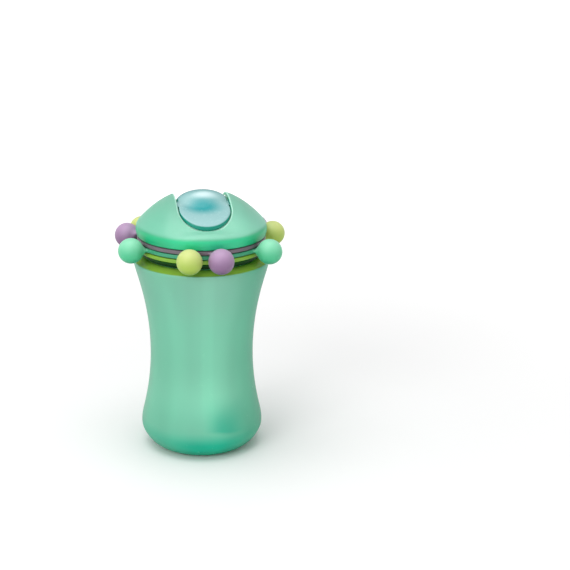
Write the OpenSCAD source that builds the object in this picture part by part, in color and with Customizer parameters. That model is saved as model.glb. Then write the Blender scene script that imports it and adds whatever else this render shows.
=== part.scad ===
// Toddler straw cup: hourglass cup body with a screw neck, a two-piece domed lid
// with a sliding spout cover, a folding silicone spout, and three turning rings
// that each carry three teething beads.
// Millimetres. Origin: centre of the cup's flat base. +Z up. The drinking side is -Y.

/* [Cup body] */
// Outer radius of the cup body at its waist
waist_r = 31.3; // [30.6:0.1:33]
// Height of the waist above the table
waist_z = 60; // [56:1:64]
// Largest outer radius near the base
base_r = 37.3; // [36:0.1:39]
// Radius of the flat ground face
foot_r = 25; // [20:0.5:28]
// Wall thickness of the cup body
wall = 1.8; // [1.2:0.1:2.4]
// Thickness of the cup floor
floor_t = 2.6; // [1.8:0.1:4]
// Outer radius of the shoulder under the lid
shoulder_r = 40.8; // [40:0.1:41.2]

/* [Lid] */
// Outer radius of the lid at its rim
lid_r = 40; // [39.6:0.1:41]
// Height of the dome above the lid rim
dome_h = 21; // [19:0.5:22]
// Wall thickness of the lid cover
cover_wall = 1.8; // [1.4:0.1:2.2]
// Half width of the channel that the spout cover slides in
channel_hw = 16; // [15.8:0.1:17]

/* [Spout and straw] */
// Radius of the folding spout
spout_r = 3.25; // [2.8:0.05:3.4]
// Length of the folding spout from its fold to its tip
spout_len = 19.5; // [17:0.5:19.5]
// Outer radius of the straw inside the cup
straw_r = 4; // [3.6:0.1:4.4]

/* [Teething rings] */
// Radius of each teething bead
bead_r = 7.5; // [6.5:0.1:7.6]
// Distance from the cup's axis to each bead's centre
bead_orbit = 46.9; // [46.5:0.1:48]
// Direction of the first bead of the top ring, turned from +X towards -Y
top_phase = 83.6; // [82:0.1:85]
// Direction of the first bead of the middle ring
middle_phase = 39.2; // [34:0.1:44]
// Direction of the first bead of the bottom ring
bottom_phase = 106; // [105:0.1:107]

/* [Hidden] */
$fn = 96;

// heights up the cup
corner_h = 14;          // height of the rounded bottom corner
shoulder_z = 118.5;     // outer edge of the shoulder
shoulder_top = 120.5;   // it rises like a shallow cone to a flat round the neck
neck_top = 130.5;       // rim of the mouth
neck_r = 31.6;          // outside of the neck between the threads
neck_in = 29.8;         // bore of the mouth
lower_rho = 151;        // radius of curvature of the waist below its narrowest point
upper_rho = 160;        // and above it

// screw thread: two starts, right hand
lead = 8;
thread_h = 1.15;
thread_root = 1.9;
thread_crest = 1.1;
bore_r = 33.1;          // inside of the lid's skirt between its threads

// lid base
skirt_z = 121.1;
skirt_r = 35;           // bearing that the rings turn on
flange_r = 36.8;         // low flange that carries the stack of rings
flange_lo = 122.6;
flange_top = 124.4;
deck_lo = 131.7;
deck_hi = 133.3;
rim_top = 135.2;

// lid cover
band_z = 133.3;         // lower edge of the cover's band
band_r = 38.5;
rim_z = 139;            // height at which the dome springs from the rim
lip_z = 142.9;          // level of the low lip in front of the spout cover
arc_y = 1.5;            // centre of the arc that the spout cover slides on
arc_z = 99.9;
plate_ro = 55.3;        // top and underside of the sliding plate, from that centre
plate_ri = 53.1;
bed_r = 52.8;           // channel floor
plate_hw = 15.25;       // half width of the plate
plate_f = 30;           // reach of the plate towards the drinking side
plate_nose = 15.2;      // depth of its rounded nose
plate_b = 5.3;          // and towards the back
ridge_y = -1.5;         // thumb ridge on the plate
ridge_z = 152.6;
ridge_h = 8;
ridge_hw = 15.4;
tab_hw = 17;            // guide tabs at both sides of the plate
saddle_y = 10;          // the crest of the dome runs on a second, wider arc
saddle_z = 98;
saddle_r = 60;

// spout fold
fold_y = -3;
fold_z = 138.8;
pocket_floor = 135.1;
pocket_hw = 9.6;
pocket_front = -27;
pocket_back = 3.4;
straw_tilt = 6;         // the straw leans back to reach the bottom corner

// rings
ring_in = 35.3;
ring_out = 38.5;
ring_t = 2.5;
ring_pitch = 2.8;
ring_mid = 128.9;       // level of the middle ring and of every bead's centre

// outer radius of the waisted wall at height z
function waist(z) = waist_r + pow(z - waist_z, 2) / (2 * (z < waist_z ? lower_rho : upper_rho));
// height of the round dome over radius r
function dome(r, ro, z0) = z0 + dome_h * (1 - pow(r / ro, 2.3));
// right side of a straight-sided plan with a rounded nose: half width hw, reach f, nose depth d
function nose(hw, f, d) = [for (k = [0:30]) let (a = 3 * k)
    [hw * pow(sin(a), 2 / 2.13), -f + d * (1 - pow(cos(a), 2 / 2.13))]];
function mirrored(p) = [for (i = [len(p) - 1:-1:1]) [-p[i][0], p[i][1]]];

// block bent round the slide arc: radii r1..r2, half width hw, from angle a1 to a2 towards the back
module arc_block(r1, r2, hw, a1, a2)
    translate([0, arc_y, arc_z]) rotate([0, -90, 0]) rotate([0, 0, a1])
        rotate_extrude(angle = a2 - a1, $fn = 180) translate([r1, -hw]) square([r2 - r1, 2 * hw]);

// long cylinder across the cup
module bar(r, y, z, hw)
    translate([-hw, y, z]) rotate([0, 90, 0]) cylinder(r = r, h = 2 * hw, $fn = 180);

// one start of the screw thread: a ridge that climbs as it goes round,
// on the wall at r_root and standing out to r_crest, fading at both ends
module ridge(r_root, r_crest, z0, turns, a0) {
    s = r_crest > r_root ? 1 : -1;
    steps = ceil(turns * 36);
    pts = [for (i = [0:steps])
        let (t = i / steps, a = a0 + 360 * turns * t,
             k = max(0.06, min(1, 9 * t, 9 * (1 - t))),
             rc = r_root + (r_crest - r_root) * k,
             ri = r_root - s * 0.45, z = z0 + lead * turns * t)
        for (q = [[ri, -thread_root / 2], [rc, -thread_crest / 2], [rc, thread_crest / 2], [ri, thread_root / 2]])
            [q[0] * cos(a), q[0] * sin(a), z + q[1]]];
    quads = [for (i = [0:steps - 1]) for (j = [0:3])
        [4 * i + j, 4 * i + (j + 1) % 4, 4 * i + 4 + (j + 1) % 4, 4 * i + 4 + j]];
    sides = [for (q = quads) each [[q[0], q[1], q[2]], [q[0], q[2], q[3]]]];
    e = 4 * steps;
    ends = [[0, 3, 2], [0, 2, 1], [e, e + 1, e + 2], [e, e + 2, e + 3]];
    out = concat(sides, ends);
    polyhedron(points = pts, faces = s > 0 ? out : [for (f = out) [f[2], f[1], f[0]]]);
}

// moulded cup: rounded base, waist, shoulder and screw neck
module cup_body() color([0.42, 0.76, 0.64]) difference() {
    union() {
        rotate_extrude($fn = 144) polygon(concat(
            [[0, 0]],
            [for (a = [0:10:90]) [foot_r + (base_r - foot_r) * pow(sin(a), 1.25),
                                  corner_h * (1 - pow(cos(a), 1.25))]],
            [for (z = [corner_h + 4:4:107]) [waist(z), z]],
            [for (z = [110:2:116]) [waist(z) - (waist(116) - shoulder_r + 0.15) * pow((z - 108) / 8, 2), z]],
            [[shoulder_r, shoulder_z - 1]],
            [for (a = [0:16.25:65]) [shoulder_r - 0.9 + 0.9 * cos(a), shoulder_z - 0.9 + 0.9 * sin(a)]],
            [[35.8, shoulder_top], [neck_r, shoulder_top], [neck_r, neck_top - 0.4], [neck_r - 0.4, neck_top],
             [neck_in + 0.4, neck_top], [neck_in, neck_top - 0.4]],
            [[neck_in, shoulder_z - 1.7]],
            [for (a = [90:-15:0]) [shoulder_r - wall - 5 + 4 * cos(a), shoulder_z - 6.3 + 4.5 * sin(a)]],
            [for (z = [corner_h + 4 + 4 * floor((shoulder_z - corner_h - 15) / 4):-4:corner_h + 4])
                [waist(z) - wall, z]],
            [for (a = [90:-10:0]) [foot_r - 1 + (base_r - wall - foot_r + 1) * pow(sin(a), 1.25),
                                   floor_t + (corner_h - floor_t) * (1 - pow(cos(a), 1.25))]],
            [[0, floor_t]]));
        for (k = [0, 180]) ridge(neck_r, neck_r + thread_h, 121.6, 0.85, k);
    }
    // shallow moulded ring under the base
    translate([0, 0, -1]) difference() {
        cylinder(r = 19, h = 1.6);
        translate([0, 0, -1]) cylinder(r = 17.4, h = 4);
    }
}

// soft washer between the cup's rim and the lid
module lid_seal() color([0.93, 0.95, 0.94]) translate([0, 0, neck_top + 0.1]) difference() {
    cylinder(r = 32.6, h = deck_lo - neck_top - 0.2);
    translate([0, 0, -1]) cylinder(r = 29.9, h = 4);
}

// inner screw cap: threaded skirt with a smooth bearing for the rings, a bottom flange and a deck
module lid_base() color([0.45, 0.78, 0.66]) difference() {
    union() {
        rotate_extrude($fn = 144) polygon([
            [bore_r, skirt_z], [skirt_r - 0.4, skirt_z], [skirt_r, skirt_z + 0.4],
            [skirt_r, flange_lo - 0.6], [flange_r - 0.4, flange_lo], [flange_r, flange_lo + 0.4],
            [flange_r, flange_top - 0.4], [flange_r - 0.4, flange_top], [skirt_r, flange_top],
            [skirt_r, rim_top], [skirt_r - 1.6, rim_top], [skirt_r - 1.6, deck_hi],
            [0, deck_hi], [0, deck_lo], [bore_r, deck_lo]]);
        for (k = [0, 180]) ridge(bore_r, bore_r - thread_h, 122.6, 0.85, k + 135);
    }
    translate([0, fold_y, deck_lo - 1]) cylinder(r = 4.6, h = 4);
    translate([16, 14, deck_lo - 1]) cylinder(r = 1.75, h = 4);
}

// solid under the lid's outer skin, inset by t
module cover_block(t) intersection() {
    rotate_extrude($fn = 144) polygon(concat(
        [[0, band_z - (t > 0 ? 1 : 0)], [band_r - t, band_z - (t > 0 ? 1 : 0)], [lid_r - t, rim_z - 0.3 - t]],
        t > 0 ? [] : [[lid_r - 0.12, rim_z + 0.35]],
        [for (r = [lid_r - t - 0.7, for (q = [37:-3:4]) q - t * 0.6, 0])
            [r, dome(r, lid_r - t, rim_z - t)]]));
    union() {
        bar(saddle_r - t, saddle_y, saddle_z, 50);
        translate([-50, -50, 120]) cube([100, 100, lip_z - t - 120]);
    }
}

// space above the slide arc, hw to each side, with a rounded nose that reaches f forwards
module channel(r, hw, f, d) difference() {
    translate([0, 0, 125]) linear_extrude(45)
        polygon(concat(mirrored(nose(hw, f, d)), nose(hw, f, d), [[hw, 60], [-hw, 60]]));
    bar(r, arc_y, arc_z, hw + 1);
}

// plan of the pocket that the spout folds into, grown by g
module pocket_plan(g) {
    translate([0, pocket_front + pocket_hw]) circle(r = pocket_hw + g);
    translate([-pocket_hw - g, pocket_front + pocket_hw])
        square([2 * (pocket_hw + g), pocket_back + g - pocket_front - pocket_hw]);
}

// domed outer cover with its slide channel, guide grooves and spout pocket
module lid_cover() color([0.60, 0.85, 0.76]) difference() {
    cover_block(0);
    difference() {
        cover_block(cover_wall);
        channel(bed_r - cover_wall, channel_hw + 3.2, plate_f + 3.4, plate_nose + 2);
        translate([0, 0, band_z + 0.2]) linear_extrude(40) pocket_plan(1.5);
        // snap ring that grips the lid base
        rotate_extrude($fn = 144) translate([skirt_r + 0.1, band_z - 2]) square([5, 3.6]);
    }
    // open the ring up to the lid base
    translate([0, 0, band_z - 1]) cylinder(r = skirt_r + 0.1, h = 1.2, $fn = 144);
    channel(bed_r, channel_hw, plate_f + 0.8, plate_nose + 0.6);
    translate([0, 0, pocket_floor]) linear_extrude(30) pocket_plan(0);
    translate([0, fold_y, band_z - 1]) cylinder(r = 4.6, h = 6);
    // guide grooves in both channel walls
    arc_block(53.2, 54.8, channel_hw + 1.4, -13.2, 37.2);
}

// curved sliding plate with a crowned thumb ridge and two guide tabs
module spout_slider() color([0.62, 0.86, 0.88]) {
    intersection() {
        translate([0, 0, 120]) linear_extrude(50) polygon(concat(
            mirrored(nose(plate_hw, plate_f, plate_nose)), nose(plate_hw, plate_f, plate_nose),
            [for (a = [0:15:90]) [plate_hw - 4 + 4 * cos(a), plate_b - 4 + 4 * sin(a)]],
            [for (a = [90:-15:0]) [-plate_hw + 4 - 4 * cos(a), plate_b - 4 + 4 * sin(a)]]));
        union() {
            arc_block(plate_ri, plate_ro, 20, -50, 20);
            // thumb ridge: an oval turned about an axis across the cup
            difference() {
                translate([0, ridge_y, ridge_z]) rotate([0, 90, 0]) rotate_extrude($fn = 120)
                    polygon([for (a = [-90:7.5:90]) [ridge_h * cos(a), ridge_hw * sin(a)]]);
                bar(plate_ri + 1, arc_y, arc_z, 21);
            }
        }
    }
    // guide tabs
    arc_block(53.5, 54.5, tab_hw, -12.5, -4.5);
}

// ring with three beads on necks; zr is the ring's own level, phase its first bead
module bead_ring(zr, phase) {
    translate([0, 0, zr]) rotate_extrude($fn = 144) polygon([
        [ring_in, -ring_t / 2 + 0.3], [ring_in + 0.3, -ring_t / 2], [ring_out - 0.8, -ring_t / 2],
        [ring_out - 0.2, -ring_t / 2 + 0.4], [ring_out, 0], [ring_out - 0.2, ring_t / 2 - 0.4],
        [ring_out - 0.8, ring_t / 2], [ring_in + 0.3, ring_t / 2], [ring_in, ring_t / 2 - 0.3]]);
    for (k = [0:2]) rotate([0, 0, -phase - 120 * k]) {
        translate([bead_orbit, 0, ring_mid]) sphere(r = bead_r);
        translate([37.2, 0, zr]) rotate([0, 90, 0]) cylinder(r = 1.1, h = 4);
        drop = atan2(zr - ring_mid, bead_orbit - 39.1);
        translate([39.1, 0, zr]) rotate([0, 90 + drop, 0]) cylinder(r1 = 1.1, r2 = 5, h = 5);
    }
}

module bead_ring_top() color([0.62, 0.52, 0.78]) bead_ring(ring_mid + ring_pitch, top_phase);
module bead_ring_middle() color([0.55, 0.82, 0.72]) bead_ring(ring_mid, middle_phase);
module bead_ring_bottom() color([0.78, 0.86, 0.42]) bead_ring(ring_mid - ring_pitch, bottom_phase);

// fixed foot of the silicone spout: sits in the deck, with a flange below and a nipple for the straw
module spout_grommet() color([0.94, 0.95, 0.95]) difference() {
    union() {
        translate([0, fold_y, deck_lo - 1.5]) cylinder(r = 4.5, h = 5);
        translate([0, fold_y, deck_lo - 1.5]) cylinder(r = 6.5, h = 1.4);
        translate([0, fold_y, deck_lo - 1.3]) rotate([180 + straw_tilt, 0, 0]) cylinder(r = 2.9, h = 8);
    }
    translate([0, fold_y, deck_lo - 1.4]) cylinder(r = 1.9, h = 8);
    translate([0, fold_y, deck_lo - 1.3]) rotate([180 + straw_tilt, 0, 0]) translate([0, 0, -0.2]) cylinder(r = 1.9, h = 10);
}

// folding spout: lies forward in its pocket, with a round fold and a rounded tip
module straw_spout() color([0.96, 0.97, 0.97]) translate([0, fold_y, fold_z]) difference() {
    union() {
        translate([-3.6, 0, 0]) rotate([0, 90, 0]) cylinder(r = 3.3, h = 7.2);
        rotate([90, 0, 0]) cylinder(r = spout_r, h = spout_len - 0.8);
        translate([0, -spout_len + 0.8, 0]) rotate([90, 0, 0]) cylinder(r1 = spout_r, r2 = spout_r - 0.7, h = 0.8);
    }
    rotate([90, 0, 0]) translate([0, 0, 2]) cylinder(r = 1.7, h = spout_len);
}

// straw inside the cup, pushed over the nipple and cut at a slant near the floor
module straw_tube() color([0.95, 0.96, 0.96]) difference() {
    translate([0, fold_y, deck_lo - 1.3]) rotate([180 + straw_tilt, 0, 0]) translate([0, 0, 1]) difference() {
        cylinder(r = straw_r, h = 123);
        translate([0, 0, -1]) cylinder(r = straw_r - 1, h = 126);
    }
    translate([0, 12, 3.5]) rotate([28, 0, 0]) translate([-10, -10, -10]) cube([20, 20, 12]);
}

// small silicone vent: domed head above the deck, stem and flange below, with a breathing slit
module vent_valve() color([0.92, 0.94, 0.93]) translate([16, 14, 0]) difference() {
    union() {
        translate([0, 0, deck_lo - 1.2]) cylinder(r = 2.5, h = 1.1);
        translate([0, 0, deck_lo - 2.6]) cylinder(r1 = 1.0, r2 = 1.65, h = 2);
        translate([0, 0, deck_lo - 1]) cylinder(r = 1.65, h = 3.2);
        translate([0, 0, deck_hi + 0.1]) cylinder(r1 = 3.2, r2 = 2.6, h = 0.9);
    }
    translate([0, 0, deck_lo - 4]) cylinder(r = 0.7, h = 5);
    translate([-0.15, -1, deck_lo - 4]) cube([0.3, 2, 12]);
}

cup_body();
lid_seal();
lid_base();
lid_cover();
spout_slider();
bead_ring_top();
bead_ring_middle();
bead_ring_bottom();
spout_grommet();
straw_spout();
straw_tube();
vent_valve();
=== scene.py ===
import math
import bpy
import numpy as np
from mathutils import Matrix, Vector


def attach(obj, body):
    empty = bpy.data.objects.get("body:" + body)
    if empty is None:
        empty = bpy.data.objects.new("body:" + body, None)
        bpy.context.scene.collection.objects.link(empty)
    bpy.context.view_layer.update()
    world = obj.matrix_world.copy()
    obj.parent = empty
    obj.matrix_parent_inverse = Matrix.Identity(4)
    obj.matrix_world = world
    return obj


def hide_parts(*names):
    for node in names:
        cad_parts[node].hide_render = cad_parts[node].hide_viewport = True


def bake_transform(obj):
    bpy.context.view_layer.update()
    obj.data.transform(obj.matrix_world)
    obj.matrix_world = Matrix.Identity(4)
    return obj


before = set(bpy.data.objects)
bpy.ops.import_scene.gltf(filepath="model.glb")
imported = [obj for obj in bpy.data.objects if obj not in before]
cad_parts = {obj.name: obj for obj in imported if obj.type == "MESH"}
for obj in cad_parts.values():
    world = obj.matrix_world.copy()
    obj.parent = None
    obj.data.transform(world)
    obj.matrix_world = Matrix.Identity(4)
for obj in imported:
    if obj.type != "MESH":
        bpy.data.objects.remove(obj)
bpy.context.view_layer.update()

scene = bpy.context.scene
MM = 0.001

# ------------------------------------------------------------------ sizes, in mm, as in the CAD
LID_R, BAND_R, BAND_Z, RIM_Z, DOME_H = 40.0, 38.5, 133.3, 139.0, 21.0
LIP_Z = 142.9
ARC_Y, ARC_Z, PLATE_RO, PLATE_RI, BED_R = 1.5, 99.9, 55.3, 53.1, 52.8
PLATE_HW, PLATE_F, PLATE_NOSE, PLATE_B = 15.25, 30.0, 15.2, 5.3
CHANNEL_HW, TAB_HW = 16.0, 17.0
COVER_WALL = 1.8
FOLD_Y, FOLD_Z, SPOUT_R, SPOUT_LEN = -3.0, 138.8, 3.25, 19.5
RING_IN, RING_OUT, RING_T, RING_PITCH, RING_MID = 35.3, 38.5, 2.5, 2.8, 128.9
BEAD_R, BEAD_ORBIT = 7.5, 46.9


# ------------------------------------------------------------------ solid fields and their meshes
def smax(a, b, k):
    h = np.maximum(k - np.abs(a - b), 0.0) / k
    return np.maximum(a, b) + h * h * k * 0.25


def smin(a, b, k):
    return -smax(-a, -b, k)


def field_mesh(name, f, lo, hi, h, rounds=4):
    """A closed mesh of quads on the surface f = 0: one vertex a cell, moved onto the surface."""
    lo, hi = np.array(lo, float), np.array(hi, float)
    n = np.ceil((hi - lo) / h).astype(int) + 1
    ax = [lo[i] + h * np.arange(n[i]) for i in range(3)]
    V = np.empty(n)
    for k in range(0, n[0], 24):
        X, Y, Z = np.meshgrid(ax[0][k:k + 24], ax[1], ax[2], indexing="ij")
        V[k:k + 24] = f(X, Y, Z)
    ins = V < 0
    cell = tuple(n - 1)
    acc = np.zeros(cell + (3,))
    cnt = np.zeros(cell, int)
    edges = []
    for a in range(3):
        s0 = [slice(None)] * 3
        s1 = [slice(None)] * 3
        s0[a], s1[a] = slice(0, -1), slice(1, None)
        cross = ins[tuple(s0)] != ins[tuple(s1)]
        idx = np.argwhere(cross)
        if len(idx) == 0:
            continue
        nxt = idx.copy()
        nxt[:, a] += 1
        v0, v1 = V[tuple(idx.T)], V[tuple(nxt.T)]
        p = lo + h * idx.astype(float)
        p[:, a] += h * v0 / (v0 - v1)
        b, c = (a + 1) % 3, (a + 2) % 3
        for db in (0, 1):
            for dc in (0, 1):
                q = idx.copy()
                q[:, b] -= db
                q[:, c] -= dc
                np.add.at(acc, tuple(q.T), p)
                np.add.at(cnt, tuple(q.T), 1)
        edges.append((a, idx, v0 < 0))
    used = cnt > 0
    num = np.full(cell, -1)
    num[used] = np.arange(used.sum())
    P = acc[used] / cnt[used][:, None]
    quads = []
    for a, idx, flip in edges:
        b, c = (a + 1) % 3, (a + 2) % 3
        ring = []
        for db, dc in ((1, 1), (0, 1), (0, 0), (1, 0)):
            q = idx.copy()
            q[:, b] -= db
            q[:, c] -= dc
            ring.append(num[tuple(q.T)])
        Q = np.stack(ring, 1)
        Q[~flip] = Q[~flip][:, ::-1]
        quads.append(Q)
    Q = np.concatenate(quads)
    e = 0.02
    for _ in range(rounds):
        x, y, z = P.T
        d = f(x, y, z)
        g = np.stack([f(x + e, y, z) - f(x - e, y, z), f(x, y + e, z) - f(x, y - e, z),
                      f(x, y, z + e) - f(x, y, z - e)], 1) / (2 * e)
        step = -d[:, None] * g / np.maximum((g * g).sum(1), 0.05)[:, None]
        ln = np.linalg.norm(step, axis=1)
        step *= np.minimum(1.0, 0.5 * h / np.maximum(ln, 1e-9))[:, None]
        P = P + step
    return mesh_object(name, P * MM, Q)


def mesh_object(name, verts, quads, smooth=True):
    verts = np.asarray(verts, float)
    me = bpy.data.meshes.new(name)
    me.from_pydata([tuple(v) for v in verts.tolist()], [], [tuple(q) for q in np.asarray(quads).tolist()])
    me.validate()
    me.update()
    if smooth:
        me.polygons.foreach_set("use_smooth", [True] * len(me.polygons))
    ob = bpy.data.objects.new(name, me)
    scene.collection.objects.link(ob)
    return ob


def lathe(name, rz, turns=192, radius=None):
    """A closed ring of profile points (r, z) in mm turned about Z. radius(theta, r, z) may vary r.
    Points at r = 0 make poles."""
    rz = np.array(rz, float)
    th = np.linspace(0, 2 * np.pi, turns, endpoint=False)
    verts, rows = [], []
    for r, z in rz:
        if r < 1e-6:
            rows.append([len(verts)] * turns)
            verts.append((0, 0, z))
        else:
            rr = np.full(turns, r) if radius is None else radius(th, r, z)
            rows.append(list(range(len(verts), len(verts) + turns)))
            verts += list(zip(rr * np.cos(th), rr * np.sin(th), np.full(turns, z)))
    faces = []
    m = len(rows)
    closed = rz[0, 0] > 1e-6 or rz[-1, 0] > 1e-6
    for i in range(m if closed else m - 1):
        a, b = rows[i], rows[(i + 1) % m]
        for j in range(turns):
            k = (j + 1) % turns
            q = [a[j], a[k], b[k], b[j]]
            q = [v for i2, v in enumerate(q) if v not in q[:i2]]
            if len(q) > 2:
                faces.append(q)
    me = bpy.data.meshes.new(name)
    me.from_pydata([tuple(c * MM for c in v) for v in verts], [], faces)
    me.validate()
    me.update()
    me.polygons.foreach_set("use_smooth", [True] * len(me.polygons))
    ob = bpy.data.objects.new(name, me)
    scene.collection.objects.link(ob)
    return ob


# ------------------------------------------------------------------ materials
def lin(*c):
    return tuple(((v / 255) / 12.92 if v / 255 <= 0.04045 else ((v / 255 + 0.055) / 1.055) ** 2.4) for v in c) + (1.0,)


class Nodes:
    def __init__(self, name):
        self.mat = bpy.data.materials.new(name)
        self.mat.use_nodes = True
        self.t = self.mat.node_tree
        self.t.nodes.clear()
        self.out = self.t.nodes.new("ShaderNodeOutputMaterial")

    def add(self, kind, props=None, **inputs):
        n = self.t.nodes.new(kind)
        for k, v in (props or {}).items():
            setattr(n, k, v)
        for k, v in inputs.items():
            self.set(n, k.replace("_", " "), v)
        return n

    def set(self, n, key, v):
        s = n.inputs[key] if not key.isdigit() else n.inputs[int(key)]
        if isinstance(v, bpy.types.NodeSocket):
            self.t.links.new(v, s)
        else:
            s.default_value = v

    def math(self, op, a, b=0.0, c=0.0, clamp=False):
        n = self.t.nodes.new("ShaderNodeMath")
        n.operation, n.use_clamp = op, clamp
        for i, v in enumerate((a, b, c)):
            if isinstance(v, bpy.types.NodeSocket):
                self.t.links.new(v, n.inputs[i])
            else:
                n.inputs[i].default_value = v
        return n.outputs[0]

    def ramp(self, v, x0, x1):
        """0 at x0 and 1 at x1, smoothly."""
        n = self.t.nodes.new("ShaderNodeMapRange")
        n.interpolation_type = "SMOOTHSTEP"
        self.t.links.new(v, n.inputs["Value"])
        n.inputs["From Min"].default_value = x0
        n.inputs["From Max"].default_value = x1
        return n.outputs["Result"]

    def mix(self, f, a, b):
        n = self.t.nodes.new("ShaderNodeMix")
        n.data_type = "RGBA"
        for s, v in ((n.inputs["Factor"], f), (n.inputs["A"], a), (n.inputs["B"], b)):
            pass
        socks = {"f": n.inputs[0], "a": n.inputs[6], "b": n.inputs[7]}
        for k, v in (("f", f), ("a", a), ("b", b)):
            if isinstance(v, bpy.types.NodeSocket):
                self.t.links.new(v, socks[k])
            else:
                socks[k].default_value = v
        return n.outputs[2]

    def coords(self):
        tc = self.t.nodes.new("ShaderNodeTexCoord")
        xyz = self.t.nodes.new("ShaderNodeSeparateXYZ")
        self.t.links.new(tc.outputs["Object"], xyz.inputs[0])
        return tc.outputs["Object"], xyz.outputs

    def noise(self, vec, scale, detail=3.0, rough=0.55):
        n = self.t.nodes.new("ShaderNodeTexNoise")
        self.t.links.new(vec, n.inputs["Vector"])
        n.inputs["Scale"].default_value = scale
        n.inputs["Detail"].default_value = detail
        n.inputs["Roughness"].default_value = rough
        return n.outputs["Fac"]

    def bump(self, height, strength, distance):
        n = self.t.nodes.new("ShaderNodeBump")
        n.inputs["Strength"].default_value = strength
        n.inputs["Distance"].default_value = distance
        self.t.links.new(height, n.inputs["Height"])
        return n.outputs["Normal"]


def up_ness(m):
    g = m.t.nodes.new("ShaderNodeNewGeometry")
    s = m.t.nodes.new("ShaderNodeSeparateXYZ")
    m.t.links.new(g.outputs["Normal"], s.inputs[0])
    return s.outputs


def tint(c, k):
    """A colour given in sRGB, scaled in light by k (one number, or one for each channel)."""
    k = (k, k, k) if isinstance(k, (int, float)) else k
    return tuple(min(1.0, v * q) for v, q in zip(lin(*c)[:3], k)) + (1.0,)


def moulded(name, paint, rough=0.36, rough_var=0.08, sss=0.25, radius=(0.6, 1.0, 0.8), grain=0.12,
            grain_scale=2600, coat=0.0, spec=0.5, sheen=0.0, flow_amount=0.10, streak=(1, 1, 1)):
    """Moulded plastic: paint(m, vec, xyz, normal) gives the colour; on it go flow variation,
    a fine mould grain and uneven gloss."""
    m = Nodes(name)
    vec, xyz = m.coords()
    col = paint(m, vec, xyz, up_ness(m))
    mp = m.t.nodes.new("ShaderNodeMapping")
    m.t.links.new(vec, mp.inputs["Vector"])
    mp.inputs["Scale"].default_value = streak
    flow = m.noise(mp.outputs[0], 45, 2.5)
    shade = m.math("MULTIPLY_ADD", flow, flow_amount * 2, 1 - flow_amount)
    hsv = m.add("ShaderNodeHueSaturation", Color=col, Value=shade)
    fine = m.noise(vec, grain_scale, 2.0)
    scuff = m.noise(vec, 320, 4.0, 0.7)
    r = m.math("ADD", m.math("MULTIPLY", scuff, rough_var * 2), rough - rough_var)
    nrm = m.bump(fine, grain, 0.00008)
    p = m.add("ShaderNodeBsdfPrincipled", Base_Color=hsv.outputs["Color"], Roughness=r, Normal=nrm)
    p.inputs["IOR"].default_value = 1.47
    p.inputs["Specular IOR Level"].default_value = spec
    p.inputs["Subsurface Weight"].default_value = sss
    p.inputs["Subsurface Radius"].default_value = radius
    p.inputs["Subsurface Scale"].default_value = 0.002
    if coat:
        p.inputs["Coat Weight"].default_value = coat
        p.inputs["Coat Roughness"].default_value = 0.12
    if sheen:
        p.inputs["Sheen Weight"].default_value = sheen
        p.inputs["Sheen Roughness"].default_value = 0.35
    m.t.links.new(p.outputs[0], m.out.inputs["Surface"])
    return m.mat


# painted light and shade: up-facing faces take the top colour, side faces the side colour, down-facing faces the low
# colour
def painted_shade_by_normal(top, side, low, span=(-0.1, 0.75)):
    def paint(m, vec, xyz, n):
        col = m.mix(m.ramp(n["Z"], *span), side, top)
        return m.mix(m.ramp(n["Z"], -0.15, -0.8), col, low)
    return paint


def bead_colour_and_painted_light(top, side, low, ring):
    """A bead, lighter on top and darker underneath (painted light and shade), with its ring darker where it lies in the
    groove below the lid (painted shade).
    """
    def paint(m, vec, xyz, n):
        col = m.mix(m.ramp(n["Z"], -0.35, 0.95), side, top)
        col = m.mix(m.ramp(n["Z"], -0.25, -0.95), col, low)
        r = m.math("SQRT", m.math("ADD", m.math("MULTIPLY", xyz["X"], xyz["X"]), m.math("MULTIPLY", xyz["Y"], xyz["Y"])))
        # painted shade on the ring where it lies in the groove below the lid
        return m.mix(m.ramp(r, 0.0405, 0.0382), col, ring)
    return paint


def cover_colour_and_painted_light(m, vec, xyz, n):
    """Pale on the dome, a little deeper towards the rim, strong green on the band and in the channel walls. The band's
    green is partly its own colour and partly painted shade; steep faces and the left of the dome are painted deeper
    (painted shade), the front of the dome and of the band paler (painted light), with a painted highlight round the
    channel's edge and painted light in its walls.
    """
    dome = m.mix(m.ramp(xyz["Z"], 0.139, 0.157), tint((134, 206, 180), 0.90), tint((144, 218, 190), 0.66))
    # painted shade: steep faces a deeper green
    dome = m.mix(m.ramp(n["Z"], 0.25, 0.62), tint((40, 172, 124), 0.8), dome)
    # painted light: the front of the dome paler
    dome = m.mix(m.math("MULTIPLY", m.ramp(xyz["Y"], -0.016, -0.032), 0.6), dome, tint((144, 218, 188), 0.88))
    # painted shade: the left of the dome deeper
    dome = m.mix(m.math("MULTIPLY", m.ramp(xyz["X"], -0.008, -0.034), 0.5), dome, tint((104, 196, 160), 0.80))
    # painted highlight: a pale rim round the channel's edge; painted light: the channel's walls a strong green, as if
    # lit through the plastic
    ax = m.math("POWER", m.math("DIVIDE", m.math("ABSOLUTE", xyz["X"]), 0.0156), 2.13)
    ay = m.math("MAXIMUM", m.math("DIVIDE", m.math("ADD", xyz["Y"], 0.0148), -0.0154), 0.0)
    q = m.math("POWER", m.math("ADD", ax, m.math("POWER", ay, 2.13)), 0.4695)
    dome = m.mix(m.math("MULTIPLY", m.ramp(q, 1.075, 1.035), 0.75), dome, tint((190, 240, 220), 1.0))
    wall = m.math("MULTIPLY", m.ramp(q, 1.035, 1.015), m.ramp(n["Z"], 0.66, 0.45))
    dome = m.mix(wall, dome, tint((18, 184, 140), 0.95))
    # painted shade on the band, deepest low down; painted light at its front
    band = m.mix(m.ramp(xyz["Z"], 0.1336, 0.1395), tint((30, 164, 112), 1.08), tint((36, 178, 124), 1.04))
    band = m.mix(m.math("MULTIPLY", m.ramp(xyz["Y"], -0.027, -0.038), 0.9), band, tint((44, 186, 134), 1.22))
    return m.mix(m.ramp(xyz["Z"], 0.1382, 0.1406), band, dome)


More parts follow.
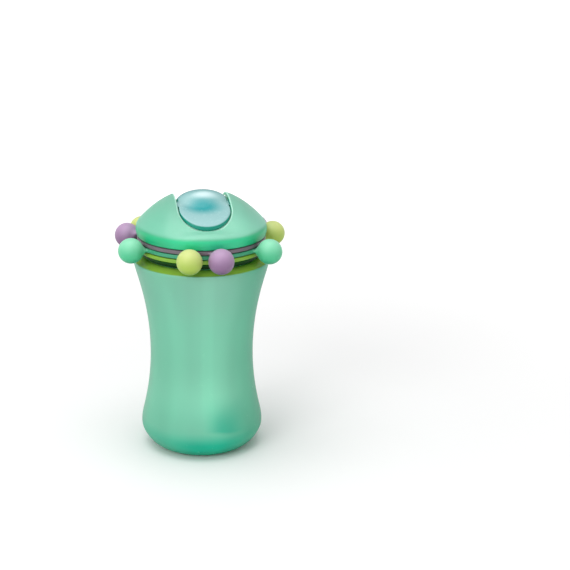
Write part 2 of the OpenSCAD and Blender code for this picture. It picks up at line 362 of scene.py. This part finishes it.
def slide_colour_and_painted_light(m, vec, xyz, n):
    """Pale aqua top, darker towards the back; deep teal on the plate's steep edges and in the hollow in front of the
    thumb ridge (painted shade); a painted highlight on the ridge's crown; the guide tabs darker (painted shade).
    """
    top = tint((170, 221, 221), 0.70)
    x, y = m.math("DIVIDE", m.math("ADD", xyz["X"], 0.0008), 0.0140), m.math("DIVIDE", m.math("ADD", xyz["Y"], 0.0140), 0.0080)
    q = m.math("SQRT", m.math("ADD", m.math("MULTIPLY", x, x), m.math("MULTIPLY", y, y)))
    # painted shade: the hollow in front of the thumb ridge, deep teal
    col = m.mix(m.math("MULTIPLY", m.ramp(q, 1.10, 0.15), 0.98), top, tint((22, 176, 180), 0.72))
    back = m.ramp(xyz["Y"], -0.006, 0.001)
    col = m.mix(back, col, tint((120, 204, 206), 0.46))
    # painted highlight on the ridge's crown
    x, y = m.math("DIVIDE", m.math("SUBTRACT", xyz["X"], 0.0010), 0.0085), m.math("DIVIDE", m.math("ADD", xyz["Y"], 0.0066), 0.0030)
    q = m.math("SQRT", m.math("ADD", m.math("MULTIPLY", x, x), m.math("MULTIPLY", y, y)))
    col = m.mix(m.math("MULTIPLY", m.ramp(q, 1.2, 0.1), 0.85), col, tint((214, 238, 240), 0.95))
    # painted shade: the guide tabs, at the plate's outer edges, darker
    tab = m.ramp(m.math("ABSOLUTE", xyz["X"]), 0.01532, 0.01545)
    col = m.mix(tab, col, tint((60, 160, 156), 0.6))
    # painted shade: steep edge faces a deep teal
    return m.mix(m.ramp(n["Z"], 0.64, 0.38), col, tint((0, 152, 130), 0.80))


MAT = {}
MAT["cover"] = moulded("mint_lid_plastic", cover_colour_and_painted_light, rough=0.38, sss=0.2, spec=0.38, flow_amount=0.05)
MAT["slider"] = moulded("aqua_slide_plastic", slide_colour_and_painted_light, rough=0.26, sss=0.0, coat=0.1, spec=0.35, flow_amount=0.04)
# each bead: top, side and underside colours are lit and shaded copies of one plastic (painted light and shade); the
# last colour is the ring's painted shade in the groove
MAT["mint_bead"] = moulded("mint_bead_plastic", bead_colour_and_painted_light(tint((150, 236, 195), 0.80), tint((78, 205, 150), 0.80),
                           tint((8, 148, 104), 0.95), tint((60, 168, 124), 0.76)), rough=0.45, sss=0.2, sheen=0.15)
MAT["lime_bead"] = moulded("lime_bead_plastic", bead_colour_and_painted_light(tint((222, 234, 145), 0.80), tint((178, 206, 84), 0.82),
                           tint((120, 160, 30), 0.9), tint((140, 195, 50), 0.7)), rough=0.45, sss=0.2, sheen=0.15)
MAT["lilac_bead"] = moulded("lilac_bead_plastic", bead_colour_and_painted_light(tint((184, 152, 188), 0.92), tint((138, 104, 142), 0.92),
                            tint((92, 64, 100), 1.0), tint((114, 104, 112), 0.85)), rough=0.45, sss=0.15, sheen=0.15)
# painted shade: the lid base a dark green, standing in for the shade under the rings, and lighter on top (painted
# light)
MAT["base"] = moulded("mint_base_painted_shade", painted_shade_by_normal(tint((36, 120, 40), 0.5), tint((24, 96, 30), 0.42), tint((12, 60, 20), 0.5)),
                      rough=0.5, sss=0.0, spec=0.15)
# painted light and shade: a little lighter on top, darker underneath
MAT["silicone"] = moulded("milky_silicone", painted_shade_by_normal(tint((236, 240, 238), 0.8), tint((226, 232, 230), 0.8),
                          tint((196, 206, 204), 0.8)), rough=0.42, sss=0.5, radius=(1.2, 1.3, 1.3), grain=0.06, flow_amount=0.03)


def body_material():
    """Frosted mint cup plastic: light scatters through both walls; deeper colour at the thick base, soft flow streaks
    that run up the wall, a paler upper part. Painted on it: a deeper crescent and a faint straw streak where the inner
    floor's edge and the straw would show through the wall, painted shade on both sides, and a painted reflection of the
    lime ring on the shoulder."""
    m = Nodes("frosted_mint_cup")
    vec, xyz = m.coords()
    z = xyz["Z"]
    mid = tint((142, 210, 182), BODY_GAIN)
    col = m.mix(m.ramp(z, 0.078, 0.108), mid, tint((146, 204, 180), BODY_GAIN))
    col = m.mix(m.math("MULTIPLY", m.ramp(z, 0.062, 0.034), m.ramp(z, 0.016, 0.034)), col, tint((152, 220, 192), BODY_GAIN))
    col = m.mix(m.ramp(z, 0.022, 0.009), col, tint((14, 194, 160), BODY_GAIN))
    col = m.mix(m.ramp(z, 0.0085, 0.0015), col, tint((2, 182, 146), BODY_GAIN))
    # painted shade: a deeper crescent where the inner floor's edge would show through the wall, stronger to the right
    wave = m.noise(vec, 22, 1.0)
    edge = m.math("ADD", z, m.math("MULTIPLY", m.math("SUBTRACT", wave, 0.5), 0.010))
    ring = m.math("MULTIPLY", m.ramp(edge, 0.0175, 0.0205), m.ramp(edge, 0.042, 0.0215))
    right = m.math("ADD", m.math("MULTIPLY", m.math("MULTIPLY", m.ramp(xyz["X"], -0.006, 0.009), m.ramp(xyz["X"], 0.028, 0.012)), 0.66), 0.12)
    ring = m.math("MULTIPLY", ring, m.ramp(xyz["Y"], 0.0, -0.014))
    col = m.mix(m.math("MULTIPLY", ring, right), col, tint((44, 188, 156), BODY_GAIN))
    # painted shade: a little deeper on the right side
    side = m.math("MULTIPLY", m.ramp(xyz["X"], 0.004, 0.036), 0.85)
    col = m.mix(side, col, tint((92, 184, 150), BODY_GAIN))
    # painted shade: a little deeper on the left side too
    left = m.math("MULTIPLY", m.ramp(xyz["X"], -0.006, -0.030), 0.5)
    col = m.mix(left, col, tint((112, 186, 156), BODY_GAIN))
    # flow streaks, stretched up the wall
    mp = m.t.nodes.new("ShaderNodeMapping")
    m.t.links.new(vec, mp.inputs["Vector"])
    mp.inputs["Scale"].default_value = (1, 1, 0.10)
    streak = m.noise(mp.outputs[0], 60, 1.0, 0.4)
    cloud = m.noise(vec, 24, 2.0)
    val = m.math("ADD", m.math("MULTIPLY_ADD", streak, 0.24, 0.83), m.math("MULTIPLY", cloud, 0.08))
    # painted light: a faint upright lighter streak where the straw would show through the front wall
    sx = m.math("ABSOLUTE", m.math("ADD", xyz["X"], 0.001))
    straw = m.math("MULTIPLY", m.ramp(sx, 0.0055, 0.0015), m.ramp(z, 0.010, 0.035))
    val = m.math("ADD", val, m.math("MULTIPLY", straw, 0.045))
    fine = m.noise(vec, 1800, 2.0)
    scuff = m.noise(vec, 260, 4.0, 0.7)
    rad = m.math("SQRT", m.math("ADD", m.math("MULTIPLY", xyz["X"], xyz["X"]), m.math("MULTIPLY", xyz["Y"], xyz["Y"])))
    top = m.math("MULTIPLY", m.ramp(z, 0.1180, 0.1186), m.ramp(rad, 0.0330, 0.0345))     # polished shoulder, where the lime ring's reflection is also painted
    r = m.math("ADD", m.math("MULTIPLY", scuff, 0.05), m.math("MULTIPLY_ADD", top, -0.14, 0.24))
    nrm = m.bump(fine, 0.012, 0.00004)
    # painted reflection: the lime ring's reflection painted on the polished shoulder
    col = m.mix(m.math("MULTIPLY", top, 0.88), col, tint((150, 184, 14), 1.12))
    hsv = m.add("ShaderNodeHueSaturation", Color=col, Value=val)
    p = m.add("ShaderNodeBsdfPrincipled", Base_Color=hsv.outputs["Color"], Roughness=r, Normal=nrm)
    p.inputs["IOR"].default_value = 1.45
    p.inputs["Sheen Weight"].default_value = 0.40
    p.inputs["Sheen Roughness"].default_value = 0.12
    p.inputs["Sheen Tint"].default_value = (0.86, 1.0, 0.94, 1.0)
    tr = m.add("ShaderNodeBsdfTranslucent", Color=hsv.outputs["Color"], Normal=nrm)
    mx = m.t.nodes.new("ShaderNodeMixShader")
    mx.inputs[0].default_value = 0.42
    m.t.links.new(p.outputs[0], mx.inputs[1])
    m.t.links.new(tr.outputs[0], mx.inputs[2])
    m.t.links.new(mx.outputs[0], m.out.inputs["Surface"])
    return m.mat


BODY_GAIN = (1.20, 1.26, 1.30)
MAT["body"] = body_material()


def give(ob, mat, slot_name=None):
    ob.data.materials.clear()
    ob.data.materials.append(mat)
    return ob


def node_material(node, mat):
    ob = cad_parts[node]
    for s in ob.material_slots:
        s.material = mat
    return ob


# ------------------------------------------------------------------ cup body
WAIST_R, WAIST_Z, BASE_R, FOOT_R, CORNER_H = 31.3, 60.0, 37.3, 25.0, 14.0
SHOULDER_Z, SHOULDER_R, NECK_TOP, NECK_R, NECK_IN, WALL, FLOOR = 118.5, 40.8, 130.5, 31.6, 29.8, 1.8, 2.6
LEAD, THREAD_H, SHOULDER_TOP = 8.0, 1.15, 120.5


def waist(z):
    return WAIST_R + (z - WAIST_Z) ** 2 / (2 * (151 if z < WAIST_Z else 160))


def outer_wall():
    """Outer profile from the ground face to the shoulder, the corner run smoothly into the waist."""
    pts = []
    for a in np.linspace(0, 90, 22):
        s, c = math.sin(math.radians(a)), math.cos(math.radians(a))
        pts.append((FOOT_R + (BASE_R - FOOT_R) * s ** 1.25, CORNER_H * (1 - c ** 1.25)))
    for z in np.arange(17.5, 107.9, 1.5):
        pts.append((waist(z), z))
    for z in np.arange(109, 116.6, 1.25):
        pts.append((waist(z) - (waist(116) - SHOULDER_R + 0.15) * ((z - 108) / 8) ** 2, z))
    p = np.array(pts)
    for _ in range(6):  # ease the joins without moving the ends
        q = p.copy()
        q[3:-4] = 0.25 * p[2:-5] + 0.5 * p[3:-4] + 0.25 * p[4:-3]
        p = q
    edge = [(SHOULDER_R, SHOULDER_Z - 0.95)]
    for a in np.linspace(0, 65, 7):
        edge.append((SHOULDER_R - 0.8 + 0.8 * math.cos(math.radians(a)), SHOULDER_Z - 0.8 + 0.8 * math.sin(math.radians(a))))
    return np.vstack([p, np.array(edge[1:])])


def offset_in(p, d):
    t = np.gradient(p, axis=0)
    t /= np.linalg.norm(t, axis=1)[:, None]
    return p + d * np.stack([-t[:, 1], t[:, 0]], 1)


out = outer_wall()
inner = offset_in(out, WALL)
inner = inner[(inner[:, 1] > FLOOR + 2.2) & (inner[:, 1] < SHOULDER_Z - 6.2)]
top_r = inner[-1, 0]
inner = np.vstack([inner, [(top_r - 4 + 4 * math.cos(math.radians(a)), inner[-1, 1] + 4.4 * math.sin(math.radians(a)))
                           for a in (12, 24, 36, 48, 60, 72, 82)]])
profile = [(0.0, 0.0), (17.2, 0.0), (17.5, 0.55), (18.9, 0.55), (19.2, 0.0)]
profile += [tuple(q) for q in out]
profile += [(40.25 + (35.9 - 40.25) * t, 118.43 + (SHOULDER_TOP - 0.03 - 118.43) * t) for t in (0.02, 0.25, 0.5, 0.75, 0.98)]
profile += [(35.5, SHOULDER_TOP), (34.0, SHOULDER_TOP), (NECK_R + 0.3, SHOULDER_TOP), (NECK_R + 0.06, SHOULDER_TOP + 0.04), (NECK_R, SHOULDER_TOP + 0.12)]
neck_rows = [(NECK_R, z) for z in np.arange(SHOULDER_TOP + 0.2, NECK_TOP - 0.45, 0.22)]
profile += neck_rows
profile += [(NECK_R, NECK_TOP - 0.4), (NECK_R - 0.12, NECK_TOP - 0.12), (NECK_R - 0.4, NECK_TOP),
            (NECK_IN + 0.4, NECK_TOP), (NECK_IN + 0.12, NECK_TOP - 0.12), (NECK_IN, NECK_TOP - 0.4)]
profile += [(NECK_IN, z) for z in np.arange(NECK_TOP - 2, SHOULDER_Z - 0.5, -2.0)]
profile += [(NECK_IN + 0.2, SHOULDER_Z - 1.3), (NECK_IN + 0.8, SHOULDER_Z - 1.75)]
profile += [tuple(q) for q in inner[::-1]]
r_last = inner[0, 0]
profile += [(r_last - 2.5, FLOOR + 0.9), (r_last - 5.0, FLOOR + 0.25), (r_last - 8.0, FLOOR), (r_last - 14, FLOOR), (0.0, FLOOR)]


def thread_radius(th, r, z):
    if abs(r - NECK_R) > 1e-6 or z < SHOULDER_TOP + 0.15:
        return np.full(len(th), r)
    add = np.zeros(len(th))
    for k in (0.0, math.pi):
        t = np.mod(th - k, 2 * np.pi)
        for wrap in (0, 1):
            u = t + 2 * np.pi * wrap            # how far along the ridge
            zc = 121.6 + LEAD * u / (2 * np.pi)
            fade = np.clip(np.minimum(u, 0.85 * 2 * np.pi - u) / 0.5, 0, 1)
            w = np.abs(z - zc)
            h = np.clip((0.95 - w) / 0.4, 0, 1)
            h = h * h * (3 - 2 * h)
            add = np.maximum(add, THREAD_H * h * fade)
    return r + add


cup = lathe("cup_shell", profile, 240, thread_radius)
give(cup, MAT["body"], "cup_body")
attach(cup, "cup")
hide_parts("cup_body")


# ------------------------------------------------------------------ lid cover
def dome_field(x, y, z):
    r = np.hypot(x, y)
    q = np.minimum(r, LID_R + 3) / LID_R
    f = RIM_Z + DOME_H * (1 - q ** 2.3)
    s = DOME_H * 2.3 / LID_R * q ** 1.3
    d = (z - f) / np.sqrt(1 + s * s)
    saddle = np.hypot(y - 10, z - 98) - 60
    lip = z - (LIP_Z - 0.4 - 0.0036 * x * x)
    front = smin(saddle, lip, 2.5)
    d = smax(d, front, 2.4)
    sl = 1.5 / 5.7
    band = (r - (BAND_R + (z - BAND_Z) * sl)) / math.hypot(1, sl)
    return smax(d, band, 3.2)


def plan_field(x, y, a, reach, nose):
    """Signed distance, nearly, to a straight-sided plan with a rounded nose: half width a."""
    yy = np.minimum(y + reach - nose, 0)
    q = ((np.abs(x) / a) ** 2.13 + (np.abs(yy) / nose) ** 2.13 + 1e-9) ** (1 / 2.13)
    gx = (np.abs(x) / a + 1e-6) ** 1.13 / a
    gy = (np.abs(yy) / nose + 1e-6) ** 1.13 / nose
    g = np.sqrt(gx * gx + gy * gy) / np.maximum(q, 1e-3) ** 1.13
    return (q - 1) / np.maximum(g, 1e-3)


def pocket_field(x, y, grow):
    cy = -27 + 9.6
    return np.where(y < cy, np.hypot(x, y - cy) - 9.6 - grow,
                    np.maximum(np.abs(x) - 9.6 - grow, y - 3.4 - grow))


def cover_field(x, y, z):
    r = np.hypot(x, y)
    arc = np.hypot(y - ARC_Y, z - ARC_Z)
    shell = dome_field(x, y, z)
    solid = smax(shell, BAND_Z - z, 0.7)
    # channel for the slide, and the space under the skin that stays clear of it
    ch = smax(plan_field(x, y, PLATE_HW + 0.35, PLATE_F + 0.25, PLATE_NOSE + 0.2), BED_R - arc, 0.5)
    keep_ch = np.maximum(plan_field(x, y, CHANNEL_HW + 3.0, PLATE_F + 3.4, PLATE_NOSE + 2), BED_R - 1.8 - arc)
    pk = np.maximum(pocket_field(x, y, 0.0), 135.1 - z)
    keep_pk = np.maximum(pocket_field(x, y, 1.5), BAND_Z + 0.2 - z)
    hollow = smax(shell + COVER_WALL, 134.9 - z, 0.5)
    hollow = np.minimum(hollow, np.maximum(r - 35.1, z - 136.0))
    hollow = smax(hollow, -keep_ch, 1.0)
    hollow = smax(hollow, -keep_pk, 0.8)
    d = smax(solid, -hollow, 0.4)
    d = smax(d, -ch, 1.0)
    d = smax(d, -pk, 1.0)
    hole = np.maximum(np.hypot(x, y - FOLD_Y) - 4.6, z - 137)
    d = smax(d, -hole, 0.4)
    ang = np.degrees(np.arctan2(y - ARC_Y, z - ARC_Z))
    groove = np.maximum.reduce([53.2 - arc, arc - 54.8 - 8.0 * np.clip((ang - 17.0) / 6.0, 0, 1), np.abs(x) - CHANNEL_HW - 1.4,
                                (-13.2 - ang) * 0.94, (ang - 37.2) * 0.94])
    # under the outer skin at the front; it runs out through the skin where the dome falls away behind
    groove = np.maximum(groove, shell + 0.9 - 6.0 * np.clip((ang - 9.0) / 4.0, 0, 1))
    return smax(d, -groove, 0.3)


cover = field_mesh("lid_cover_shell", cover_field, (-41, -41, 132.5), (41, 41, 161), 0.5)
give(cover, MAT["cover"], "lid_cover")
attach(cover, "lid")
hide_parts("lid_cover")


# ------------------------------------------------------------------ spout slide
def slider_field(x, y, z):
    arc = np.hypot(y - ARC_Y, z - ARC_Z)
    plan = plan_field(x, y, PLATE_HW, PLATE_F, PLATE_NOSE)
    # rounded rear corners
    qx, qy = np.abs(x) - (PLATE_HW - 4), y - (PLATE_B - 4)
    rear = np.where((qx > 0) & (qy > 0), np.hypot(np.maximum(qx, 0), np.maximum(qy, 0)) - 4,
                    np.maximum(qx, qy) - 4)
    plan = smax(plan, rear, 0.5)
    # thumb ridge: an oval hump that rises out of the plate with a hollow for the thumb in front
    q = np.sqrt((x / 15.6) ** 2 + ((y + 1.5) / 8.0) ** 2 + ((z - 152.6) / 8.0) ** 2 + 1e-9)
    g = np.sqrt((x / 15.6 ** 2) ** 2 + ((y + 1.5) / 64) ** 2 + ((z - 152.6) / 64) ** 2 + 1e-12) / q
    ridge = (q - 1) / np.maximum(g, 0.03)
    back = np.clip((y + 15.0) / 11.0, 0, 1)
    drop = 0.029 * np.maximum(np.abs(x) - 9.5, 0) ** 2 * back * back * (3 - 2 * back)
    blend = 8.0 - 6.0 * np.clip(np.abs(x) / 15.0, 0, 1) ** 2
    body = smax(smin(arc - PLATE_RO + drop, ridge, blend), plan, 1.2)
    d = smax(body, PLATE_RI - arc, 0.4)
    ang = np.degrees(np.arctan2(y - ARC_Y, z - ARC_Z))
    tab = np.maximum.reduce([53.5 - arc, arc - 54.5, np.abs(x) - TAB_HW, (-12.5 - ang) * 0.94, (ang + 4.5) * 0.94])
    return smin(d, tab, 0.4)


slider = field_mesh("spout_slide", slider_field, (-18.5, -31.5, 140), (18.5, 7.5, 162.5), 0.35)
give(slider, MAT["slider"], "spout_slider")
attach(slider, "slider")
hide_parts("spout_slider")


# ------------------------------------------------------------------ teething rings
def ring_field(zr, phase):
    dirs = [math.radians(-phase - 120 * k) for k in range(3)]

    def f(x, y, z):
        r = np.hypot(x, y)
        qx = np.abs(r - (RING_IN + RING_OUT) / 2) - ((RING_OUT - RING_IN) / 2 - 0.55)
        qz = np.abs(z - zr) - (RING_T / 2 - 0.55)
        ring = np.hypot(np.maximum(qx, 0), np.maximum(qz, 0)) + np.minimum(np.maximum(qx, qz), 0) - 0.55
        d = ring
        for t in dirs:
            u = x * math.cos(t) + y * math.sin(t)      # out along the bead's direction
            v = -x * math.sin(t) + y * math.cos(t)     # across it
            bead = np.sqrt((u - BEAD_ORBIT) ** 2 + v * v + (z - RING_MID) ** 2) - BEAD_R
            # the neck: a flat horn, wide along the ring, that drops from the ring's level to the bead's
            s = np.clip((u - 37.0) / 7.0, 0, 1)
            zc = zr + (RING_MID - zr) * s * s
            half_h = 0.9 + 3.2 * s ** 1.6
            half_w = 6.5 - 3.0 * np.sqrt(s)
            neck = (np.sqrt((v / half_w) ** 2 + ((z - zc) / half_h) ** 2) - 1) * half_h
            neck = np.maximum.reduce([neck, 36.6 - u, u - 44.0])
            d = np.where(u > 20, smin(d, smin(bead, neck, 2.2), 1.2), d)
        # inside the stack each ring keeps to its own level
        room = np.minimum(np.abs(z - zr) - RING_T / 2, 38.85 - r)
        return smax(d, room, 0.35)
    return f


for name, node, body, level, phase, mat in (
        ("teething_ring_top", "bead_ring_top", "ring_top", 1, 83.6, "lilac_bead"),
        ("teething_ring_middle", "bead_ring_middle", "ring_middle", 0, 39.2, "mint_bead"),
        ("teething_ring_bottom", "bead_ring_bottom", "ring_bottom", -1, 106.0, "lime_bead")):
    ob = field_mesh(name, ring_field(RING_MID + RING_PITCH * level, phase),
                    (-55.5, -55.5, 120.5), (55.5, 55.5, 137.5), 0.5)
    give(ob, MAT[mat], node)
    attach(ob, body)
    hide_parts(node)


# ------------------------------------------------------------------ silicone spout, one moulding
def spout_mesh():
    """Foot in the deck, a flange, the fold and the tip, as one closed tube with its bore."""
    path = [(FOLD_Y, 130.4), (FOLD_Y, 132.0), (FOLD_Y, 134.2), (FOLD_Y, 135.6), (FOLD_Y, 136.6)]
    cy, cz, rb = FOLD_Y - 2.4, FOLD_Z - 2.4, 2.4
    for a in np.linspace(0, 90, 13)[1:]:
        t = math.radians(a)
        path.append((cy + rb * math.cos(t), cz + rb * math.sin(t)))
    for s in np.linspace(3.4, SPOUT_LEN, 26):
        path.append((FOLD_Y - s, FOLD_Z))
    p = np.array(path)
    p[4] = (FOLD_Y, 136.3)
    t = np.gradient(p, axis=0)
    t /= np.linalg.norm(t, axis=1)[:, None]
    n = np.stack([-t[:, 1], t[:, 0]], 1)
    ln = np.concatenate([[0], np.cumsum(np.linalg.norm(np.diff(p, axis=0), axis=1))])
    total = ln[-1]
    turns = 48
    rows = []

    def row(i, r, shift=0.0, flat=1.0):
        th = np.linspace(0, 2 * np.pi, turns, endpoint=False)
        c = p[i] + t[i] * shift
        return [(r * math.sin(a) * (2 - flat), c[0] + n[i, 0] * r * flat * math.cos(a), c[1] + n[i, 1] * r * flat * math.cos(a)) for a in th]

    rows.append(row(0, 4.4, 0.0))
    rows.append(row(0, 4.5, 0.15))
    for i in range(1, len(p) - 1):
        r = SPOUT_R
        if ln[i] < 4.5:
            r = 4.5 if ln[i] < 3.0 else 4.3
        else:
            e = min(1, (ln[i] - 4.5) / 2.5)
            r = 4.1 + (SPOUT_R - 4.1) * e * e * (3 - 2 * e)
        d_fold = abs(ln[i] - 7.2)
        flat = 1 - 0.12 * math.exp(-(d_fold / 2.2) ** 2)
        lipb = 0.22 * math.exp(-((total - ln[i] - 1.6) / 0.8) ** 2)   # soft bead round the tip
        rows.append(row(i, r + lipb, 0.0, flat))
    rows.append(row(len(p) - 1, SPOUT_R + 0.02, -0.35))
    rows.append(row(len(p) - 1, SPOUT_R - 0.35, -0.05))
    rows.append(row(len(p) - 1, SPOUT_R - 0.8, 0.0))
    rows.append(row(len(p) - 1, 1.9, 0.0))
    rows.append(row(len(p) - 1, 1.7, -0.3))
    for i in range(len(p) - 2, 0, -1):
        rows.append(row(i, 1.6))
    rows.append(row(0, 1.6, 0.0))
    verts = np.array([v for r_ in rows for v in r_])
    m = len(rows)
    quads = [[i * turns + j, i * turns + (j + 1) % turns, ((i + 1) % m) * turns + (j + 1) % turns, ((i + 1) % m) * turns + j]
             for i in range(m) for j in range(turns)]
    return mesh_object("silicone_spout", verts * MM, quads)


spout = spout_mesh()
give(spout, MAT["silicone"], "straw_spout")
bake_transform(spout)
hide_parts("straw_spout")

# ------------------------------------------------------------------ pieces kept from the CAD
node_material("lid_base", MAT["base"])
node_material("lid_seal", MAT["silicone"])
node_material("spout_grommet", MAT["silicone"])
node_material("straw_tube", MAT["silicone"])
node_material("vent_valve", MAT["silicone"])

# ------------------------------------------------------------------ floor, light, camera
bpy.ops.mesh.primitive_plane_add(size=24, location=(0, 0, 0))
floor = bpy.context.object
floor.name = "floor"
m = Nodes("pale_floor")
fvec, fxyz = m.coords()
away = m.math("SQRT", m.math("ADD", m.math("MULTIPLY", fxyz["X"], fxyz["X"]), m.math("MULTIPLY", fxyz["Y"], fxyz["Y"])))
b = m.add("ShaderNodeBsdfPrincipled")
b.inputs["Base Color"].default_value = (0.93, 0.93, 0.93, 1)
b.inputs["Roughness"].default_value = 0.6
b.inputs["Specular IOR Level"].default_value = 0.2
b.inputs["Emission Color"].default_value = (1, 1, 1, 1)
m.t.links.new(m.math("MULTIPLY", m.ramp(away, 0.12, 0.9), 0.52), b.inputs["Emission Strength"])
m.t.links.new(b.outputs[0], m.out.inputs["Surface"])
floor.data.materials.append(m.mat)

world = bpy.data.worlds.new("studio")
scene.world = world
world.use_nodes = True
world.node_tree.nodes["Background"].inputs[0].default_value = (1, 1, 1, 1)
world.node_tree.nodes["Background"].inputs[1].default_value = 0.62


def area(name, loc, target, size, power, size_y=None):
    d = bpy.data.lights.new(name, "AREA")
    d.energy, d.size = power, size
    if size_y:
        d.shape, d.size_y = "RECTANGLE", size_y
    o = bpy.data.objects.new(name, d)
    scene.collection.objects.link(o)
    o.location = loc
    o.rotation_mode = "QUATERNION"
    o.rotation_quaternion = (Vector(target) - Vector(loc)).to_track_quat("-Z", "Y")
    return o


area("soft_top", (-0.15, -0.1, 1.1), (0, 0, 0.08), 0.9, 6.0)
area("soft_front_left", (-0.9, -1.0, 0.8), (0, 0, 0.1), 0.8, 6.5)

psi, pitch, roll = math.radians(11.0), 0.30134, 0.01466
rt = Vector((math.cos(psi), -math.sin(psi), 0))
fwd = Vector((math.sin(psi) * math.cos(pitch), math.cos(psi) * math.cos(pitch), -math.sin(pitch)))
up = Vector((math.sin(psi) * math.sin(pitch), math.cos(psi) * math.sin(pitch), math.cos(pitch)))
R = rt * math.cos(roll) + up * math.sin(roll)
U = up * math.cos(roll) - rt * math.sin(roll)
cx = 0.0506 * math.cos(psi) - 0.850 * math.sin(psi)
cy = -0.0506 * math.sin(psi) - 0.850 * math.cos(psi)
cam_data = bpy.data.cameras.new("camera")
cam_data.lens, cam_data.sensor_width = 1467.4 * 36 / 570, 36
cam_data.clip_start, cam_data.clip_end = 0.05, 50
cam = bpy.data.objects.new("camera", cam_data)
scene.collection.objects.link(cam)
mw = Matrix((
    (R.x, U.x, -fwd.x, cx),
    (R.y, U.y, -fwd.y, cy),
    (R.z, U.z, -fwd.z, 0.3659),
    (0, 0, 0, 1)))
cam.matrix_world = mw
scene.camera = cam
scene.view_settings.view_transform = "Standard"
scene.view_settings.look = "None"
